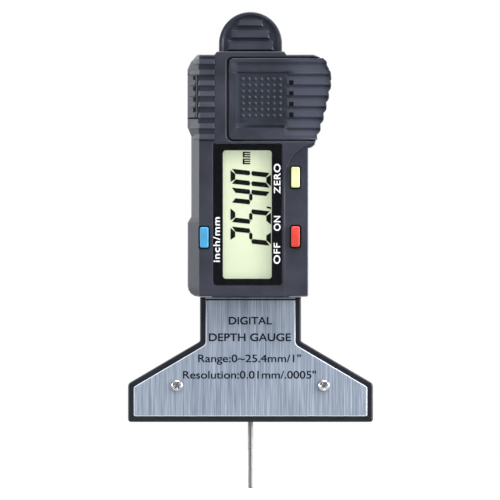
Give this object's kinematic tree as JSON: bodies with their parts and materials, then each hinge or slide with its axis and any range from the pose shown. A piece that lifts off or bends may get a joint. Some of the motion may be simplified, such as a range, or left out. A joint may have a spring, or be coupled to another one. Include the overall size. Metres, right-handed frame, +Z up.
{
  "type": "digital tread depth gauge",
  "caption": "Digital depth gauge: tee measuring base, display housing with buttons, and a sliding thumb tab that drives a thin probe through the base.",
  "frame": {"origin": "centre of the probe's exit on the measuring face, the underside of the tee base", "axes": "+X to the right as the display is read, +Y from the display towards the back, +Z up the gauge, away from the tread"},
  "size_m": [0.062, 0.0141, 0.1207],
  "materials": {
    "black_plastic": "satin",
    "slate_plastic": "satin",
    "brushed_plate": "brushed",
    "steel": "satin",
    "nickel": "polished",
    "brass": "machined",
    "bezel_black": "gloss",
    "clear_lens": "clear",
    "display_green": "matte",
    "board_green": "satin",
    "gold_contact": "plated",
    "rubber_strip": "matte",
    "chip_black": "satin",
    "button_blue": "satin",
    "button_yellow": "satin",
    "button_red": "satin"
  },
  "bodies": {
    "gauge_body": {"tee_base": "black_plastic", "face_plate": "brushed_plate", "plate_screw_1": "nickel", "plate_screw_2": "nickel", "probe_bush": "brass", "front_housing": "slate_plastic", "rear_housing": "slate_plastic", "case_screw_1": "steel", "case_screw_2": "steel", "case_screw_3": "steel", "case_screw_4": "steel", "display_bezel": "bezel_black", "display_window": "clear_lens", "lcd_glass": "display_green", "lcd_reflector": "display_green", "zebra_strip_left": "rubber_strip", "zebra_strip_right": "rubber_strip", "main_board": "board_green", "board_screw_1": "steel", "board_screw_2": "steel", "controller_chip": "chip_black", "crystal_can": "steel", "capacitor": "gold_contact", "switch_units": "steel", "switch_zero": "steel", "switch_power": "steel", "data_port_socket": "bezel_black", "battery_cell": "steel", "battery_contact_negative": "gold_contact", "battery_contact_positive": "gold_contact", "travel_stop_pin": "steel", "friction_spring": "steel"},
    "slider": {"slider_beam": "slate_plastic", "scale_strip": "board_green", "probe_rod": "steel", "probe_grub_screw": "steel"},
    "units_button": {"units_button": "button_blue"},
    "zero_button": {"zero_button": "button_yellow"},
    "power_button": {"power_button": "button_red"},
    "battery_cover": {"battery_cover": "slate_plastic"},
    "data_port_cover": {"data_port_cover": "slate_plastic"}
  },
  "joints": [
    {"name": "slider_travel", "type": "slide", "parent": "gauge_body", "child": "slider", "axis": [0, 0, 1], "range_m": [-0.0085, 0.0169]},
    {"name": "units_press", "type": "slide", "parent": "gauge_body", "child": "units_button", "axis": [0, 1, 0], "range_m": [0, 0.0004], "stiffness_N_per_m": 800, "springref_m": -0.0005},
    {"name": "zero_press", "type": "slide", "parent": "gauge_body", "child": "zero_button", "axis": [0, 1, 0], "range_m": [0, 0.0004], "stiffness_N_per_m": 800, "springref_m": -0.0005},
    {"name": "power_press", "type": "slide", "parent": "gauge_body", "child": "power_button", "axis": [0, 1, 0], "range_m": [0, 0.0004], "stiffness_N_per_m": 800, "springref_m": -0.0005},
    {"name": "battery_cover_slide", "type": "slide", "parent": "gauge_body", "child": "battery_cover", "axis": [1, 0, 0], "range_m": [0, 0.0265]},
    {"name": "data_port_cover_pull", "type": "slide", "parent": "gauge_body", "child": "data_port_cover", "axis": [-1, 0, 0], "range_m": [0, 0.006]}
  ]
}
